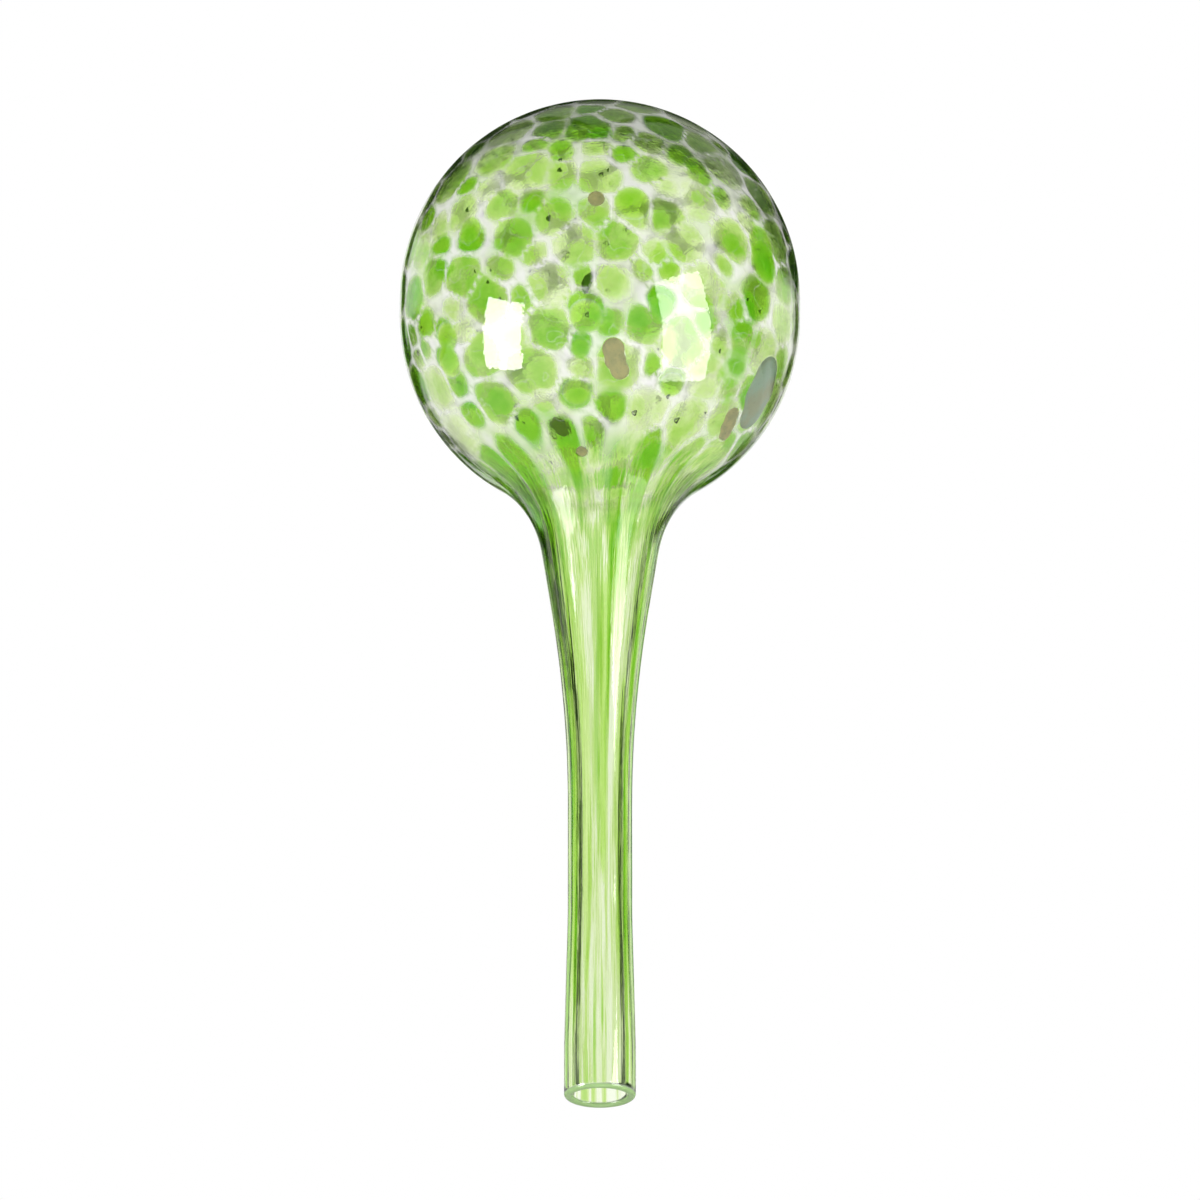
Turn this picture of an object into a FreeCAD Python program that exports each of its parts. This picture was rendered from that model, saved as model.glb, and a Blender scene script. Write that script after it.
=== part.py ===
import FreeCAD, Part

import math
import os

# Bulb
bulb_diameter = 80.0
bulb_belt = 3.8
bulb_wall = 1.3
globe_height = 207.5

# Neck and stem
neck_sweep = 24.0
neck_taper_degrees = 9.0
stem_diameter = 12.8
stem_wall = 1.85
stem_sweep = 264.0
stem_waist_low = 38.0
stem_waist_high = 60.0

# Fire-polished tip
tip_diameter = 14.2
tip_wall = 1.85
tip_grip_length = 10.0

# Crushed coloured glass melted flush into the outer skin
chip_depth = 0.6
thread_depth = 0.5

# Each kind's chip width as a share of the bulb's diameter, as chips widen with the blown bulb
deep_chip_share = 0.1075
light_chip_share = 0.12
tan_chip_share = 0.065
blue_chip_share = 0.13

# A chip is a round spot, run together with further spots where it is longer than wide. Its
# first spot is given as a share of a full turn, of the quarter turn up from the bulb's
# equator, and of its kind's width. Each further spot is given by its bearing from the one
# before, as a share of a full turn, and by its step and its width as shares of the kind's width.
deep_chip_shares = (
    ((0.738, -0.23, 0.81),),
    ((0.732, -0.33, 0.51),),
    ((0.801, -0.19, 0.62),),
    ((0.899, 0.04, 1.00), (0.786, 0.50, 0.92)),
    ((0.602, -0.21, 0.74), (0.690, 0.58, 0.78)),
    ((0.825, -0.43, 0.60),),
    ((0.060, 0.20, 0.90),),
    ((0.245, 0.10, 1.00),),
    ((0.420, 0.24, 0.88),),
)
light_chip_shares = (
    ((0.776, 0.09, 0.80),),
    ((0.714, 0.32, 0.54),),
    ((0.725, -0.47, 0.60),),
    ((0.638, 0.05, 0.62),),
    ((0.837, 0.27, 0.54),),
    ((0.105, -0.14, 0.86),),
    ((0.185, 0.34, 0.90),),
    ((0.375, -0.10, 0.88),),
)
tan_chip_shares = (
    ((0.747, 0.10, 0.66),),
    ((0.762, -0.33, 0.88), (0.785, 0.46, 0.84), (0.825, 0.46, 0.74)),
    ((0.919, -0.46, 0.74), (0.830, 0.44, 0.80), (0.845, 0.44, 0.66)),
    ((0.720, -0.685, 0.48),),
    ((0.285, -0.16, 0.96),),
)
blue_chip_shares = (
    ((0.937, -0.29, 0.80), (0.800, 0.36, 0.98), (0.815, 0.42, 0.78)),
)

# A thread is a chip drawn out along the stem. Each is given as a share of a full turn, the
# share of a turn that it spans, and the shares of the stem, from the grip at the tip to the
# end of the neck's taper, between which it runs.
deep_thread_shares = (
    (0.625, 0.080, 0.06, 0.98),
    (0.860, 0.050, 0.10, 0.72),
    (0.085, 0.070, 0.04, 0.80),
    (0.345, 0.075, 0.12, 0.90),
)
light_thread_shares = (
    (0.768, 0.035, 0.30, 0.94),
    (0.965, 0.045, 0.20, 0.96),
    (0.230, 0.045, 0.36, 0.98),
    (0.490, 0.040, 0.02, 0.66),
)

origin = FreeCAD.Vector(0, 0, 0)
upward = FreeCAD.Vector(0, 0, 1)
bulb_radius = bulb_diameter / 2
stem_radius = stem_diameter / 2
tip_radius = tip_diameter / 2
lip_height = tip_wall / 2
upper_middle = globe_height - bulb_radius
lower_middle = upper_middle - bulb_belt
taper = math.radians(neck_taper_degrees)


def point(radius, height):
    """A point of the half section, in the plane of the axis."""
    return FreeCAD.Vector(radius, 0, height)


def around(radius, middle, arc_radius, angle):
    """A point on a circle of the half section, by its angle up from the outward line."""
    return point(radius + arc_radius * math.cos(angle), middle + arc_radius * math.sin(angle))


def arc(middle_radius, middle_height, arc_radius, start, end):
    """A circular arc of the half section between two angles."""
    places = [around(middle_radius, middle_height, arc_radius, angle)
              for angle in (start, (start + end) / 2, end)]
    return Part.Arc(*places).toShape()


def line(start, end):
    """A straight stretch of the half section."""
    return Part.makeLine(start, end)


def stem_chain(inset_tip, inset_stem, inset_bulb):
    """Lines and arcs of one glass surface, from the tip's lip up to the bulb.

    The insets take the surface in from the outer skin. The neck's arc touches the taper
    below it and the bulb's sphere above it, and its middle is worked out from both.
    """
    tip = tip_radius - inset_tip
    stem = stem_radius - inset_stem
    bulb = bulb_radius - inset_bulb
    sweep = stem_sweep + inset_stem
    neck = neck_sweep + inset_bulb
    grip_end = lip_height + tip_grip_length
    flare_end = around(stem + sweep, stem_waist_high, sweep, math.pi - taper)
    start_radius = flare_end.x + neck * math.cos(taper)
    start_height = flare_end.z - neck * math.sin(taper) - lower_middle
    along = start_radius * math.sin(taper) + start_height * math.cos(taper)
    short = start_radius ** 2 + start_height ** 2 - (bulb + neck) ** 2
    taper_length = -along - math.sqrt(along ** 2 - short)
    neck_radius = start_radius + taper_length * math.sin(taper)
    neck_height = start_height + taper_length * math.cos(taper)
    meeting = math.atan2(neck_height, neck_radius)
    neck_middle = lower_middle + neck_height
    taper_end = around(neck_radius, neck_middle, neck, math.pi - taper)
    edges = [
        line(point(tip, lip_height), point(tip, grip_end)),
        line(point(tip, grip_end), point(stem, stem_waist_low)),
        line(point(stem, stem_waist_low), point(stem, stem_waist_high)),
        arc(stem + sweep, stem_waist_high, sweep, math.pi, math.pi - taper),
        line(flare_end, taper_end),
        arc(neck_radius, neck_middle, neck, math.pi - taper, math.pi + meeting),
        arc(0, lower_middle, bulb, meeting, 0),
        line(point(bulb, lower_middle), point(bulb, upper_middle)),
        arc(0, upper_middle, bulb, 0, math.pi / 2),
    ]
    return edges, taper_end.z


def half_section(outer, inner, closing):
    """A face of the half section between two chains, closed by the given edges."""
    return Part.Face(Part.Wire(Part.__sortEdges__(outer + inner + closing)))


def blown_wall():
    """The bulb, neck and stem in one wall, with a half-round lip at the open tip."""
    outer, outer_taper_end = stem_chain(0, 0, 0)
    inner, inner_taper_end = stem_chain(tip_wall, stem_wall, bulb_wall)
    lip = arc(tip_radius - lip_height, lip_height, lip_height, 0, -math.pi)
    crown = line(point(0, globe_height - bulb_wall), point(0, globe_height))
    return half_section(outer, inner, [lip, crown]).revolve(origin, upward, 360)


def chip_bars(spots, kind_width):
    """Round bars that point outward and cut the spots of one chip out of the skin."""
    turn_share, rise_share, width_share = spots[0]
    turn = 2 * math.pi * turn_share
    rise = math.pi / 2 * rise_share
    middle = FreeCAD.Vector(0, 0, upper_middle if rise_share >= 0 else lower_middle)
    places = [(turn, rise, width_share)]
    for bearing_share, step_share, width_share in spots[1:]:
        bearing = 2 * math.pi * bearing_share
        step = step_share * kind_width / bulb_radius
        turn += step * math.cos(bearing) / math.cos(rise)
        rise += step * math.sin(bearing)
        places.append((turn, rise, width_share))
    bars = []
    for turn, rise, width_share in places:
        outward = FreeCAD.Vector(
            math.cos(rise) * math.cos(turn), math.cos(rise) * math.sin(turn), math.sin(rise))
        start = middle + outward * (bulb_radius / 2)
        radius = kind_width * width_share / 2
        bars.append(Part.makeCylinder(radius, bulb_radius, start, outward))
    return bars


def chip(skin, spots, kind_width):
    """One chip of the skin, as deep as the skin and square to it."""
    bars = chip_bars(spots, kind_width)
    joined = bars[0]
    for bar in bars[1:]:
        joined = joined.fuse(bar)
    return skin.common(joined).Solids[0]


def skin_section(depth):
    """A face of the half section, of the given depth, along the whole outer skin."""
    outer, taper_end = stem_chain(0, 0, 0)
    inner, inner_taper_end = stem_chain(depth, depth, depth)
    lip = line(point(tip_radius, lip_height), point(tip_radius - depth, lip_height))
    crown = line(point(0, globe_height - depth), point(0, globe_height))
    return half_section(outer, inner, [lip, crown]), taper_end


def thread(section, taper_end, places):
    """A strip of the stem's skin, turned through the width that the thread spans."""
    turn_share, span_share, start_share, end_share = places
    lowest = lip_height + tip_grip_length
    start = lowest + (taper_end - lowest) * start_share
    end = lowest + (taper_end - lowest) * end_share
    corners = [
        point(0, start),
        point(bulb_radius, start),
        point(bulb_radius, end),
        point(0, end),
        point(0, start),
    ]
    strip = section.common(Part.Face(Part.makePolygon(corners)))
    strip.rotate(origin, upward, 360 * (turn_share - span_share / 2))
    return strip.revolve(origin, upward, 360 * span_share).Solids[0]


def export(name, solids):
    """Writes one node's solids."""
    shape = Part.makeCompound(solids)
    shape.exportStep("parts/" + name + ".step")
    print(name, len(shape.Solids), "solids", round(shape.Volume), "cubic mm", shape.isValid())


def build():
    """Builds each glass, cuts its seat in the clear wall and writes them all."""
    os.makedirs("parts", exist_ok=True)
    kinds = (
        ("deep_green_frit", deep_chip_shares, deep_chip_share, deep_thread_shares),
        ("light_green_frit", light_chip_shares, light_chip_share, light_thread_shares),
        ("tan_frit", tan_chip_shares, tan_chip_share, ()),
        ("blue_grey_frit", blue_chip_shares, blue_chip_share, ()),
    )
    wall = blown_wall()
    chip_section, taper_end = skin_section(chip_depth)
    thread_section, taper_end = skin_section(thread_depth)
    skin = chip_section.revolve(origin, upward, 360)
    for name, chips, width_share, threads in kinds:
        kind_width = bulb_diameter * width_share
        pieces = [chip(skin, spots, kind_width) for spots in chips]
        pieces += [thread(thread_section, taper_end, places) for places in threads]
        export(name, pieces)
        wall = wall.cut(pieces)
    export("glass_wall", wall.Solids)


build()
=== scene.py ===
import math
import random

import bpy
from mathutils import Matrix, Vector, noise
from mathutils.kdtree import KDTree


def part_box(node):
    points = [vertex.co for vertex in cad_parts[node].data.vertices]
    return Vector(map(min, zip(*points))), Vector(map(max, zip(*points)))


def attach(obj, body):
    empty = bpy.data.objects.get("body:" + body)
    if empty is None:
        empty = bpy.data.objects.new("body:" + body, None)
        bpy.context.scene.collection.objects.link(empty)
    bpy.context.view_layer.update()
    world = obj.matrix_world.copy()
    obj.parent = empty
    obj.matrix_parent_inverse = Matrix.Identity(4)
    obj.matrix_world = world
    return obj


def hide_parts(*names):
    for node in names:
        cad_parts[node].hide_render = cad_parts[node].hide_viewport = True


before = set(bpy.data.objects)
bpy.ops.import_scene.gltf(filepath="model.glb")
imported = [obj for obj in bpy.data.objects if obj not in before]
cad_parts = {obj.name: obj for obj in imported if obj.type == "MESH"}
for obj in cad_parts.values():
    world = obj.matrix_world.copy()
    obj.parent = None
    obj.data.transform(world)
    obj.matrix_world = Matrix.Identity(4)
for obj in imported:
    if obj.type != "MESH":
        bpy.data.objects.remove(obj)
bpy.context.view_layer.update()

bl_info = {
    "name": "Watering Globe",
    "version": (1, 0, 0),
    "blender": (4, 5, 0),
    "location": "3D View > Sidebar > Watering Globe",
    "description": "Blown glass watering globe with melted-in spots, chips, threads and bubbles",
    "category": "Object",
}

WALL_LOW, WALL_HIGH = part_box("glass_wall")
UP = Vector((0, 0, 1))
WHITE = (1.0, 1.0, 1.0, 1.0)
MILLIMETRES = 1000.0


def length_value(name, description, default):
    """A length that a user may change."""
    return bpy.props.FloatProperty(
        name=name, description=description, default=default, unit="LENGTH")


def colour_value(name, description, default):
    """A colour that a user may change."""
    return bpy.props.FloatVectorProperty(
        name=name, description=description, default=default, subtype="COLOR")


class GlobeSizes(bpy.types.PropertyGroup):
    """Sizes of the blown globe."""
    bulb_diameter: length_value(
        "Bulb diameter", "Outside width of the bulb", WALL_HIGH.x - WALL_LOW.x)
    bulb_belt: length_value(
        "Bulb belt", "Height of the straight belt between the bulb's two halves", 0.0038)
    bulb_wall: length_value("Bulb wall", "Thickness of the bulb's glass", 0.0013)
    globe_height: length_value(
        "Globe height", "Length from the open tip to the crown of the bulb",
        WALL_HIGH.z - WALL_LOW.z)
    neck_sweep: length_value(
        "Neck sweep", "Radius of the curve from the bulb into the neck", 0.024)
    neck_taper: bpy.props.FloatProperty(
        name="Neck taper", description="Slope of the neck's side from upright",
        default=math.radians(9.0), subtype="ANGLE")
    stem_diameter: length_value("Stem diameter", "Outside width of the stem's waist", 0.0128)
    stem_wall: length_value("Stem wall", "Thickness of the stem's glass", 0.00185)
    stem_sweep: length_value(
        "Stem sweep", "Radius of the long curve from the waist to the neck", 0.264)
    stem_waist_low: length_value(
        "Waist low end", "Height of the waist's lower end above the tip", 0.038)
    stem_waist_high: length_value(
        "Waist high end", "Height of the waist's upper end above the tip", 0.060)
    tip_diameter: length_value("Tip diameter", "Outside width of the open tip", 0.0142)
    tip_wall: length_value("Tip wall", "Thickness of the glass at the open tip", 0.00185)
    tip_grip_length: length_value("Tip length", "Length of the even stretch above the lip", 0.010)
    chip_depth: length_value(
        "Chip depth", "Thickness of a chip or thread of coloured glass", 0.0005)
    skin_cover: length_value(
        "Skin over chips", "Clear glass that covers a melted-in chip", 0.00006)


class GlassColours(bpy.types.PropertyGroup):
    """Colours of the glasses."""
    milk: colour_value("Milky veins", "Milky glass between the spots", (0.69, 0.66, 0.74))
    faint: colour_value("Faint spots", "Clear glass with a trace of green", (0.95, 0.98, 0.88))
    pale: colour_value("Pale spots", "Thin green spots", (0.76, 0.86, 0.52))
    middle: colour_value("Green spots", "Most of the stronger green spots", (0.42, 0.68, 0.120))
    deep: colour_value("Deep spots", "Thickest green spots", (0.13, 0.48, 0.003))
    body: colour_value(
        "Glass", "Cast of the clear glass seen along a thick stretch", (0.73, 0.93, 0.32))
    lip: colour_value("Lip", "Green glass of the lip, seen edge on", (0.25, 0.54, 0.04))
    deep_chip: colour_value("Deep green chips", "Clear deep green glass", (0.68, 0.90, 0.03))
    light_chip: colour_value("Light green chips", "Clear light green glass", (0.66, 0.88, 0.03))
    tan: colour_value("Tan chips", "Opaque tan glass", (0.69, 0.60, 0.33))
    tan_mottle: colour_value("Tan mottle", "Darker patches of the tan glass", (0.54, 0.50, 0.28))
    blue_grey: colour_value("Blue-grey chip", "Opaque blue-grey glass", (0.46, 0.60, 0.52))
    blue_grey_mottle: colour_value(
        "Blue-grey mottle", "Browner patches of the blue-grey glass", (0.50, 0.52, 0.38))
    olive: colour_value("Dark seeds", "Burnt specks and flecks in the glass", (0.055, 0.10, 0.018))


class StudioSettings(bpy.types.PropertyGroup):
    """Camera and lights."""
    camera_elevation: bpy.props.FloatProperty(
        name="Camera elevation", description="Height of the camera's direction above level",
        default=math.radians(-20.0), subtype="ANGLE")
    camera_lens: bpy.props.FloatProperty(
        name="Camera lens", description="Focal length in millimetres", default=500.0)
    camera_distance: length_value(
        "Camera distance", "Distance from the camera to the globe's middle", 3.30)
    look_height: length_value(
        "Look height", "Height on the globe's axis that the camera looks at", 0.1038)
    floor_depth: length_value("Floor depth", "Distance of the floor below the tip", 1.35)
    lamp_distance: length_value("Lamp distance", "Distance of the soft lamps from the bulb", 0.70)
    lamp_brightness: bpy.props.FloatProperty(
        name="Lamp brightness", description="Radiance of the soft lamps", default=18.0)
    surround_brightness: bpy.props.FloatProperty(
        name="Surround brightness", description="Light of the white surround through the glass",
        default=1.1)


# Round spots on the side towards the camera. Each is given as a share of a full turn, of the
# quarter turn up from the bulb's equator, its width as a share of the bulb's, and its tone.
FRONT_SPOT_SHARES = (
    (0.694, 0.14, 0.060, 0.70), (0.714, 0.31, 0.064, 0.60), (0.771, 0.31, 0.058, 0.66),
    (0.776, 0.09, 0.098, 0.42), (0.762, -0.01, 0.110, 0.50), (0.785, -0.11, 0.052, 0.45),
    (0.856, 0.19, 0.056, 0.46), (0.890, 0.19, 0.066, 0.36), (0.900, 0.01, 0.098, 0.36),
    (0.837, 0.26, 0.066, 0.46), (0.871, -0.16, 0.062, 0.30), (0.866, -0.29, 0.064, 0.30),
    (0.852, -0.05, 0.056, 0.28), (0.602, -0.21, 0.064, 0.97), (0.591, -0.30, 0.064, 0.97),
    (0.725, -0.49, 0.076, 0.74), (0.764, -0.54, 0.076, 0.70), (0.823, -0.44, 0.066, 0.84),
    (0.829, -0.63, 0.072, 0.76), (0.892, -0.42, 0.060, 0.30), (0.590, -0.49, 0.066, 0.97),
    (0.638, 0.05, 0.078, 0.80), (0.667, 0.14, 0.086, 0.52), (0.738, -0.23, 0.088, 0.92),
    (0.732, -0.33, 0.056, 0.86), (0.801, -0.19, 0.066, 0.86),
    (0.604, 0.06, 0.066, 0.78), (0.576, 0.20, 0.066, 0.74), (0.625, 0.25, 0.060, 0.70),
    (0.700, -0.61, 0.066, 0.74), (0.785, -0.68, 0.056, 0.70), (0.655, -0.57, 0.066, 0.97),
    (0.823, 0.48, 0.110, 0.96), (0.552, -0.63, 0.090, 0.96), (0.602, -0.63, 0.070, 0.90),
    (0.505, -0.725, 0.076, 0.90), (0.566, -0.725, 0.076, 0.80), (0.628, -0.725, 0.070, 0.25),
    (0.695, -0.725, 0.086, 0.04), (0.765, -0.725, 0.080, 0.12), (0.835, -0.725, 0.084, 0.04),
    (0.905, -0.725, 0.076, 0.42), (0.970, -0.725, 0.078, 0.66),
)

# Chips of another glass, given as in the part's own source: a first spot by its place and
# width, and further spots by bearing, step and width. Widths are shares of the kind's width.
DEEP_CHIP_SHARES = (
    ((0.738, -0.23, 0.81),),
    ((0.732, -0.33, 0.51),),
    ((0.801, -0.19, 0.62),),
    ((0.899, 0.04, 1.00), (0.786, 0.50, 0.92)),
    ((0.602, -0.21, 0.74), (0.690, 0.58, 0.78)),
    ((0.825, -0.43, 0.60),),
    ((0.060, 0.20, 0.90),),
    ((0.245, 0.10, 1.00),),
    ((0.420, 0.24, 0.88),),
)
LIGHT_CHIP_SHARES = (
    ((0.776, 0.09, 0.80),),
    ((0.714, 0.32, 0.54),),
    ((0.725, -0.47, 0.60),),
    ((0.638, 0.05, 0.62),),
    ((0.837, 0.27, 0.54),),
    ((0.105, -0.14, 0.86),),
    ((0.185, 0.34, 0.90),),
    ((0.375, -0.10, 0.88),),
)
TAN_CHIP_SHARES = (
    ((0.747, 0.10, 0.66),),
    ((0.762, -0.33, 0.88), (0.785, 0.46, 0.84), (0.825, 0.46, 0.74)),
    ((0.919, -0.46, 0.74), (0.830, 0.44, 0.80), (0.845, 0.44, 0.66)),
    ((0.720, -0.685, 0.48),),
    ((0.285, -0.16, 0.96),),
)
BLUE_CHIP_SHARES = (
    ((0.937, -0.29, 0.80), (0.800, 0.36, 0.98), (0.815, 0.42, 0.78)),
)
CHIP_WIDTH_SHARES = {"deep": 0.1075, "light": 0.12, "tan": 0.065, "blue": 0.13}

# Threads along the stem: share of a turn, share of a turn that each spans, and the shares of
# the stem between which it runs.
DEEP_THREAD_SHARES = (
    (0.625, 0.080, 0.06, 0.98),
    (0.860, 0.050, 0.10, 0.72),
    (0.085, 0.070, 0.04, 0.80),
    (0.345, 0.075, 0.12, 0.90),
)
LIGHT_THREAD_SHARES = (
    (0.768, 0.035, 0.30, 0.94),
    (0.965, 0.045, 0.20, 0.96),
    (0.230, 0.045, 0.36, 0.98),
    (0.490, 0.040, 0.02, 0.66),
)

# Dark seeds on the side towards the camera: place, length and width as shares of the bulb's.
FRONT_SEED_SHARES = (
    (0.741, -0.12, 0.062, 0.026), (0.716, 0.22, 0.016, 0.012), (0.709, 0.04, 0.018, 0.012),
    (0.632, 0.13, 0.016, 0.010), (0.655, -0.08, 0.010, 0.008), (0.693, -0.07, 0.010, 0.008),
    (0.826, -0.47, 0.014, 0.009), (0.884, -0.10, 0.010, 0.007), (0.645, -0.53, 0.018, 0.010),
)

# Spacings of points along the half section, as shares of the bulb's width
OUTER_SPACING_SHARE = 0.030
INNER_SPACING_SHARE = 0.045
GATHER_SPACING_SHARE = 0.01
# Spacings along a thread to the bulb's width, and steps along the lip and round the axis
THREAD_SPACINGS = 80
LIP_STEPS = 8
TURN_STEPS = 112
WELD_DISTANCE = 0.000002

# The blower's slight unevenness: its length as a share of the bulb's width, and its depth
UNEVEN_SHARE = 0.22
UNEVEN_DEPTH = 0.00007

# Starts of the random draws. The noise that wavers the spots' outlines has one of its own, as
# it would start from the clock without it.
SPOT_CHANCE = 11
WAVER_CHANCE = 11
SEED_CHANCE = 29

# Spots that lie by chance: radii as shares of the bulb's width from the largest down, and tones
CHANCE_SPOT_SHARES = (0.056, 0.049, 0.043, 0.037, 0.032, 0.027)
CHANCE_SPOT_TONES = (0.06, 0.14, 0.22, 0.30, 0.38, 0.46, 0.54, 0.68)
CHANCE_SPOT_TRIES = 900
SPOT_UNEVENNESS = 0.08
SPOT_CLOSENESS = 0.87

# How a spot's outline wavers: noise scale and reach
SPOT_WAVERS = ((150.0, 0.0007), (420.0, 0.0003))
# How many spots a point looks at, and how sharply its tone passes from one to the next
NEAREST_SPOTS = 7
TONE_BLENDING = 2500.0

# The neck's straight taper among the skin's stretches, at whose upper end the threads end
NECK_TAPER = 4

# Chips and threads: points round and across, and thicknesses as shares of the full one
CHIP_POINTS = 40
CHIP_RINGS = 5
THREAD_COLUMNS = 10
THREAD_ROWS = 70
THINNEST_SHARE = 0.04
OPAQUE_RIM_SHARE = 0.15
OPAQUE_SLOPE = 3
THREAD_SHARE = 0.16
THREAD_RIM_SHARE = 0.05
THREAD_END_SHARE = 0.04

# Seeds and bubbles that lie by chance: rises as shares of a quarter turn, sizes of the bulb's
CHANCE_SEEDS = 60
SEED_RISE_SHARES = (-0.55, 0.75)
SEED_LENGTH_SHARES = (0.007, 0.016)
SEED_WIDTH_SHARES = (0.004, 0.007)
SEED_LEAN = 0.5
CHANCE_BUBBLES = 46
BUBBLE_RISE_SHARES = (-0.58, 0.8)
BUBBLE_WIDTH_SHARES = (0.006, 0.015)
BUBBLE_STRETCH = 1.25

# How deep seeds and bubbles lie and how thick they are, as shares of the wall
SEED_DEPTH_SHARE = 0.42
SEED_THICKNESS_SHARE = 0.22
BUBBLE_DEPTH_SHARE = 0.5
BUBBLE_THICKNESS_SHARE = 0.5
# How far a seed or bubble bends, as a share of its width
PIP_BEND = 0.35

# Heights between which the lip passes into the stem, the stem into the neck, and the neck's
# dull glass into the bulb's
LIP_TOP = (0.0005, 0.0012)
NECK_FOOT = (0.085, 0.125)
NECK_TOP = (0.130, 0.142)
# Heights on the gather between which its spots pass into streaks
STREAK_TOP = (-0.0348, -0.0312)

# The skin's colour over a chip, the shine of the neck's dull glass, and the lip's own cover
COVERING_SKIN = (0.97, 0.98, 0.95, 1.0)
DULL_SHINE = (0.3, 0.3, 0.3, 1.0)
LIP_COVER = 0.70

# Tones at which the glass reaches its pale, middle and deep colours
PALE_TONE = 0.155
MIDDLE_TONE = 0.36
DEEP_TONE = 0.70

# Glass: bending of light, depth of colour, size of the mottle and depth of the ripples
GLASS_IOR = 1.5
AIR_IN_GLASS_IOR = 0.667
WALL_DENSITY = 120.0
DEEP_CHIP_DENSITY = 4800.0
LIGHT_CHIP_DENSITY = 4600.0
TAN_MOTTLE_SCALE = 500.0
BLUE_GREY_MOTTLE_SCALE = 160.0
RIPPLE_DEPTH = 0.00002

# Dark parts of the surround: angles from a bar's middle, and heights of the way that looks
# out through the glass, from -1 straight down to 1 straight up
BAR_COUNT = 8
BAR_EDGES = (0.13, 0.07)
CAP_FOOT = (0.402, 0.430)
CAP_TOP = (0.56, 0.76)
SKIRT_TOP = (0.17, 0.25)
SKIRT_FOOT = (0.02, 0.08)
# The cap's darkness above its top, the lean of cap and skirt from left to right and how far
# across it goes, and the edge of the part that lies behind the globe
CAP_REST = 0.7
SURROUND_LEAN = 0.25
LEAN_LIMIT = 0.22
AHEAD_EDGES = (0.42, 0.56)
# Colours of the dark parts, and of the room that the glass mirrors
DARK_FLAG = (0.015, 0.03, 0.008, 1.0)
DIM_ROOM = (0.09, 0.10, 0.085, 1.0)

# Soft lamps: name, way from the bulb as across, above and near, width and height in degrees,
# share of the brightness, and colour
LAMPS = (
    ("left_lamp", (-0.833, -0.156, 0.531), 24.0, 34.0, 1.0, (1.0, 1.0, 0.97)),
    ("right_lamp", (0.760, -0.109, 0.640), 30.0, 54.0, 0.6, (1.0, 1.0, 0.94)),
)
# How far the lamps' upright sides lean towards the camera
LAMP_LEAN = 0.2
FLOOR_RADIUS = 14.0


def skin_edges(sizes, inset_tip, inset_stem, inset_bulb):
    """Straight and round stretches of one glass surface, from the lip up to the crown."""
    bulb_radius = sizes.bulb_diameter / 2
    upper = sizes.globe_height - bulb_radius
    lower = upper - sizes.bulb_belt
    lip = sizes.tip_wall / 2
    tip = sizes.tip_diameter / 2 - inset_tip
    stem = sizes.stem_diameter / 2 - inset_stem
    bulb = bulb_radius - inset_bulb
    sweep = sizes.stem_sweep + inset_stem
    neck = sizes.neck_sweep + inset_bulb
    taper = sizes.neck_taper
    turned = math.pi - taper
    flare_radius = stem + sweep + sweep * math.cos(turned)
    flare_height = sizes.stem_waist_high + sweep * math.sin(turned)
    start_radius = flare_radius + neck * math.cos(taper)
    start_height = flare_height - neck * math.sin(taper) - lower
    along = start_radius * math.sin(taper) + start_height * math.cos(taper)
    short = start_radius ** 2 + start_height ** 2 - (bulb + neck) ** 2
    length = -along - math.sqrt(along ** 2 - short)
    neck_radius = start_radius + length * math.sin(taper)
    neck_height = start_height + length * math.cos(taper)
    meeting = math.atan2(neck_height, neck_radius)
    taper_radius = neck_radius + neck * math.cos(turned)
    taper_height = lower + neck_height + neck * math.sin(turned)
    grip_end = lip + sizes.tip_grip_length
    return (
        ("line", (tip, lip), (tip, grip_end)),
        ("line", (tip, grip_end), (stem, sizes.stem_waist_low)),
        ("line", (stem, sizes.stem_waist_low), (stem, sizes.stem_waist_high)),
        ("arc", (stem + sweep, sizes.stem_waist_high), sweep, math.pi, turned),
        ("line", (flare_radius, flare_height), (taper_radius, taper_height)),
        ("arc", (neck_radius, lower + neck_height), neck, turned, math.pi + meeting),
        ("arc", (0.0, lower), bulb, meeting, 0.0),
        ("line", (bulb, lower), (bulb, upper)),
        ("arc", (0.0, upper), bulb, 0.0, math.pi / 2),
    )


def walk(edges, spacing):
    """Evenly spaced places along the stretches, as (radius, height)."""
    places = []
    for edge in edges:
        if edge[0] == "line":
            (start_x, start_z), (end_x, end_z) = edge[1:]
            steps = max(1, round(math.hypot(end_x - start_x, end_z - start_z) / spacing))
            for step in range(steps):
                part = step / steps
                places.append((start_x + (end_x - start_x) * part,
                               start_z + (end_z - start_z) * part))
        else:
            (middle_x, middle_z), radius, start, end = edge[1:]
            steps = max(1, round(abs(end - start) * radius / spacing))
            for step in range(steps):
                angle = start + (end - start) * step / steps
                places.append((middle_x + radius * math.cos(angle),
                               middle_z + radius * math.sin(angle)))
    return places


def half_section(sizes):
    """The wall's closed half section, from the inner crown by the lip to the outer crown."""
    crown = sizes.globe_height
    outer = walk(skin_edges(sizes, 0.0, 0.0, 0.0), sizes.bulb_diameter * OUTER_SPACING_SHARE)
    inner = walk(skin_edges(sizes, sizes.tip_wall, sizes.stem_wall, sizes.bulb_wall),
                 sizes.bulb_diameter * INNER_SPACING_SHARE)
    lip = sizes.tip_wall / 2
    middle = sizes.tip_diameter / 2 - lip
    round_lip = [(middle + lip * math.cos(angle), lip + lip * math.sin(angle))
                 for angle in (math.pi * (1 + step / LIP_STEPS)
                               for step in range(1, LIP_STEPS))]
    return ([(0.0, crown - sizes.bulb_wall)] + inner[::-1] + round_lip
            + outer + [(0.0, crown)])


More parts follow.
